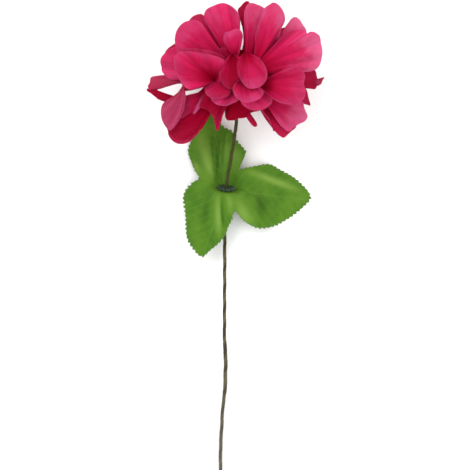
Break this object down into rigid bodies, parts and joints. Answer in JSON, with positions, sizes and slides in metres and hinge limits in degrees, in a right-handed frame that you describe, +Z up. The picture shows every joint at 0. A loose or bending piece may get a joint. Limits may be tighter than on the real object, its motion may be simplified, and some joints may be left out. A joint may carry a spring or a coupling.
{
  "type": "artificial chrysanthemum flower pick",
  "caption": "Silk-look chrysanthemum lying down: layered cloth bloom on a bent, taped wire stem with a collar and a three-lobed leaf.",
  "frame": {"origin": "on the table, under the middle of the flower's box as it lies", "axes": "+Z up from the table, +Y along the stem from its cut end to the bloom, +X to the right seen from above"},
  "size_m": [0.1046, 0.2863, 0.083],
  "materials": {
    "petal_cloth": "matte dyed polyester cloth",
    "leaf_cloth": "matte dyed polyester cloth with pressed veins",
    "collar_plastic": "moulded polyethylene",
    "peg_plastic": "moulded polyethylene",
    "cap_plastic": "moulded polyethylene",
    "stem_tape": "waxed crepe tape wound in a long spiral",
    "stem_steel": "drawn wire"
  },
  "bodies": {
    "root": {"bloom": "petal_cloth", "leaves": "leaf_cloth", "leaf_collar": "collar_plastic", "peg": "peg_plastic", "cap": "cap_plastic", "stem_wrap": "stem_tape", "stem_wire": "stem_steel"}
  },
  "joints": []
}
